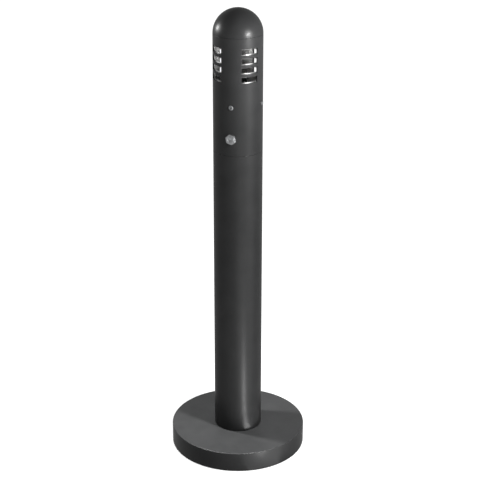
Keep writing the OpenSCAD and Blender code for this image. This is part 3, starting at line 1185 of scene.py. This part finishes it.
@dataclass
class ButtLiner:
    """The butt liner that stands in the post, with its rolled rim and carrying bail.

    Attributes:
        wall: The liner's sheet thickness.
        floor: The thickness of its floor.
        skirt_height: The height of the floor's turned-up edge.
        skirt_wall: The thickness of that edge.
        rim_radius: The radius of the rolled rim.
        pivot_radius: The radius of the bail's straight ends.
        swage: How much thinner the bow is than its ends.
        ear_out: How far the ears' outer edges lie beyond their inner faces.
    """

    wall: float = 1 * MM
    floor: float = 1.5 * MM
    skirt_height: float = 10 * MM
    skirt_wall: float = 0.95 * MM
    rim_radius: float = 1.6 * MM
    pivot_radius: float = 2 * MM
    swage: float = 0.25 * MM
    ear_out: float = 6.5 * MM

    def __post_init__(self) -> None:
        """Takes the liner's radius from the frame."""
        self.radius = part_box("liner_base")[1].x

    def build(self) -> None:
        """Models and dresses the liner and its bail."""
        self.tube()
        self.bottom()
        self.rim()
        self.bail()
        dress_node("bail_ears", ZINC)
        dress_node("ear_rivets", ALUMINIUM)

    def tube(self) -> None:
        """Spins the thin wall of the liner."""
        low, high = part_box("liner_tube")
        bore = self.radius - self.wall
        corners = [(bore, low.z), (self.radius, low.z), (self.radius, high.z), (bore, high.z)]
        settle(lathe("liner_wall", eased(corners, 0.2 * MM)), SPANGLE, Body.LINER, "liner_tube")

    def bottom(self) -> None:
        """Spins the floor with its turned-up edge inside the wall."""
        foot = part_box("liner_base")[0].z
        top, rise = foot + self.floor, foot + self.skirt_height
        skirt = self.radius - self.wall - FIT
        inner = skirt - self.skirt_wall
        corners = [(0, top), (0, foot), (self.radius, foot), (self.radius, top)]
        corners += [(skirt, top), (skirt, rise), (inner, rise), (inner, top)]
        outline = eased(corners, 0.5 * MM, sharp=(0, 1, 4, 7))
        settle(lathe("liner_floor", outline), SPANGLE, Body.LINER, "liner_base")

    def rim(self) -> None:
        """Spins the rolled rim over the top of the wall."""
        middle = self.radius + self.rim_radius / 3
        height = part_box("liner_rim")[1].z - self.rim_radius
        outline = arc((middle, height), self.rim_radius, -95, 265, 28)
        settle(lathe("rolled_rim", outline), SPANGLE, Body.LINER, "liner_rim")

    def bail(self) -> None:
        """Bends the bow half round, and joins its straight pivot ends with their heads."""
        height, pivot = middle_height("bail_handle"), self.pivot_radius
        wire = pivot - self.swage
        bow_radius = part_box("bail_handle")[1].y - wire
        bow = trace("carrying_bail", arc((bow_radius, height), wire, 0, 360, 20))
        with editing(bow):
            fill_outline()
            bpy.ops.mesh.spin(steps=72, angle=math.pi, center=(0, 0, 0), axis=(0, 0, 1))
        clean(bow)
        if sum(vertex.co.y for vertex in bow.data.vertices) < 0:
            place(bow, turned(math.pi))
        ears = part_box("bail_ears")
        inner = (ears[1].x - ears[0].x) / 2 - self.ear_out - 2.4 * MM
        outer, knob = bow_radius + pivot, 1.45 * pivot
        outline = [(0, inner), (knob - 0.5 * MM, inner), (knob, inner + 0.4 * MM), (knob, inner + 1.8 * MM)]
        outline += [(pivot, inner + 2 * MM), (pivot, outer - 0.5 * MM), (pivot - 0.5 * MM, outer), (0, outer)]
        for azimuth in (0, math.pi):
            end = place(lathe("bail_end", outline, steps=40), outward_frame(azimuth, height))
            cut(bow, end, "UNION")
        settle(bow, WIRE, Body.BAIL, "bail_handle")


# ---------- Studio ----------


def light_only(lamp: Piece, names: Sequence[str], state: str = "INCLUDE") -> None:
    """Limits a light to some objects, or to all but those.

    Args:
        lamp: The light.
        names: The names of the objects.
        state: INCLUDE if it lights these alone, EXCLUDE if it lights all the others.
    """
    linked = bpy.data.collections.new(f"{lamp.name}_linked")
    for name in names:
        linked.objects.link(bpy.data.objects[name])
    for member in linked.collection_objects:
        member.light_linking.link_state = state
    lamp.light_linking.receiver_collection = linked


@dataclass
class Lamp:
    """A soft light that isn't itself seen.

    Attributes:
        name: Its name.
        azimuth: Its direction from the post's axis, in degrees from the camera's side.
        reach: Its distance from the axis.
        height: Its height above the floor.
        size: Its width and its length.
        power: Its power in watts.
        aim: The height on the axis that it faces, if it doesn't lie on the floor.
        lies: The direction of its length if it lies on the floor and faces up, in degrees.
        only: The names of the objects that it lights, or nothing if it lights all.
        spares: The names of the objects that it leaves unlit.
    """

    name: str
    azimuth: float
    reach: float
    height: float
    size: Point
    power: float
    aim: float = 0.5
    lies: float | None = None
    only: tuple[str, ...] = ()
    spares: tuple[str, ...] = ()

    def build(self, camera_azimuth: float) -> None:
        """Adds the light and aims it.

        Args:
            camera_azimuth: The camera's own direction, in degrees.
        """
        angle = math.radians(self.azimuth + camera_azimuth)
        spot = Vector((math.sin(angle) * self.reach, -math.cos(angle) * self.reach, self.height))
        bpy.ops.object.light_add(type="AREA", location=spot)
        lamp = bpy.context.object
        lamp.name = self.name
        if self.lies is None:
            lamp.data.shape = "ELLIPSE"
            facing = Vector((0, 0, self.aim)) - spot
            lamp.rotation_euler = facing.to_track_quat("-Z", "Y").to_euler()
        else:
            lamp.data.shape = "RECTANGLE"
            lamp.rotation_euler = (math.pi, 0, math.radians(self.lies + camera_azimuth))
        lamp.data.size, lamp.data.size_y = self.size
        lamp.data.energy = self.power
        lamp.visible_camera = False
        if self.only:
            light_only(lamp, self.only)
        if self.spares:
            light_only(lamp, self.spares, "EXCLUDE")
        LOG.info("%s: %.3g W", self.name, self.power)


@dataclass
class Studio:
    """A pale floor, an even white surround, soft lights and the camera.

    Attributes:
        azimuth: The camera's direction, in degrees from -Y.
        distance: The camera's distance from the post's axis, along the floor.
        height: The camera's height.
        pitch: How far it looks down, in degrees.
        lens: Its focal length in millimetres on its sensor.
        sensor: The width of its sensor in millimetres.
        shift: The sideways shift of its frame.
        surround: The strength of the white surround as the object receives it.
        wash: The strength of the even light that whitens the floor.
        floor_size: The side of the floor.
    """

    azimuth: float = -29
    distance: float = 2.786
    height: float = 1.642
    pitch: float = 22.35
    lens: float = 102.98
    sensor: float = 36
    shift: float = 0.0043
    surround: float = 0.45
    wash: float = 2.3
    floor_size: float = 60

    def build(self) -> None:
        """Sets up the whole studio."""
        self.camera()
        self.floor()
        self.world()
        for lamp in self.lamps():
            lamp.build(self.azimuth)

    def camera(self) -> None:
        """Adds the camera with its depth of field off."""
        angle = math.radians(self.azimuth)
        spot = (math.sin(angle) * self.distance, -math.cos(angle) * self.distance, self.height)
        bpy.ops.object.camera_add(location=spot, rotation=(math.radians(90 - self.pitch), 0, angle))
        camera = bpy.context.object
        camera.data.lens = self.lens
        camera.data.sensor_width = self.sensor
        camera.data.shift_x = self.shift
        camera.data.clip_end = 200
        bpy.context.scene.camera = camera
        bpy.context.scene.view_settings.view_transform = "Standard"

    def floor(self) -> None:
        """Lays the pale floor, with a faint unevenness, and washes it with light."""
        bpy.ops.mesh.primitive_plane_add(size=self.floor_size, location=(0, 0, 0))
        ground = bpy.context.object
        ground.name = "studio_floor"
        sheet = NodeSheet("pale_floor")
        pale = sheet.blend(sheet.noise(3, 3), (0.93, 0.93, 0.93), (0.95, 0.95, 0.95))
        matt = sheet.spread(sheet.noise(8, 2), 0.85, 0.95)
        sheet.fill(sheet.shader, Specular_IOR_Level=0.0, Base_Color=pale, Roughness=matt)
        ground.data.materials.append(sheet.material)
        ground.visible_glossy = False
        bpy.ops.object.light_add(type="SUN", location=(0, 0, 5))
        wash = bpy.context.object
        wash.name = "floor_wash"
        wash.data.energy = self.wash
        wash.data.use_shadow = False
        light_only(wash, [ground.name])

    def world(self) -> None:
        """Makes the surround an even white, at full strength where it is seen directly."""
        world = bpy.data.worlds.new("white_surround")
        bpy.context.scene.world = world
        world.use_nodes = True
        tree = world.node_tree
        back = tree.nodes["Background"]
        back.inputs["Color"].default_value = (1, 1, 1, 1)
        seen = tree.nodes.new("ShaderNodeMapRange")
        seen.inputs["To Min"].default_value = self.surround
        tree.links.new(tree.nodes.new("ShaderNodeLightPath").outputs["Is Camera Ray"], seen.inputs["Value"])
        tree.links.new(seen.outputs["Result"], back.inputs["Strength"])

    def lamps(self) -> list[Lamp]:
        """The lights: two by the dome, their fill on the base, and panels on the floor and base."""
        small, base, post = (60 * MM, 60 * MM), ("base_cover_shell",), ("post_shell",)
        liner = ("liner_wall", "liner_floor", "rolled_rim", "carrying_bail")
        on_floor, on_base = 3 * MM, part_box("base_cover")[1].z + 3 * MM
        return [
            Lamp("right_dome_light", 44, 0.364, 0.985, small, 3.9, aim=0.96, spares=liner),
            Lamp("left_dome_light", -105, 0.364, 1.03, small, 1.7, aim=0.96, spares=liner),
            Lamp("right_base_light", 44, 0.364, 0.99, small, 35, aim=0.05, only=base),
            Lamp("left_base_light", -106, 0.364, 1.03, small, 33, aim=0.05, only=base),
            Lamp("right_key", 52, 2.0, 0.8, (0.9, 1.2), 30, aim=0.2),
            Lamp("right_panel", 36, 2.3, on_floor, (3.0, 3.2), 55, lies=-6),
            Lamp("low_strip", 27.5, 0.38, on_floor, (36 * MM, 300 * MM), 2.0, lies=27.5),
            Lamp("foot_strip", 27.5, 0.104, on_base, (20 * MM, 90 * MM), 0.09, lies=27.5, only=post),
            Lamp("foot_panel", 62, 0.11, on_base, (110 * MM, 90 * MM), 0.014, lies=62, only=post),
        ]


def main() -> None:
    """Builds the bin and its studio in order."""
    logging.basicConfig(level=logging.INFO, format="%(name)s %(message)s")
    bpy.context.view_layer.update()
    for unit in (BaseUnit(), Post(), Head(), CamLock(), ButtLiner(), Studio()):
        LOG.info("building %s", type(unit).__name__)
        unit.build()


if __name__ == "__main__":
    main()
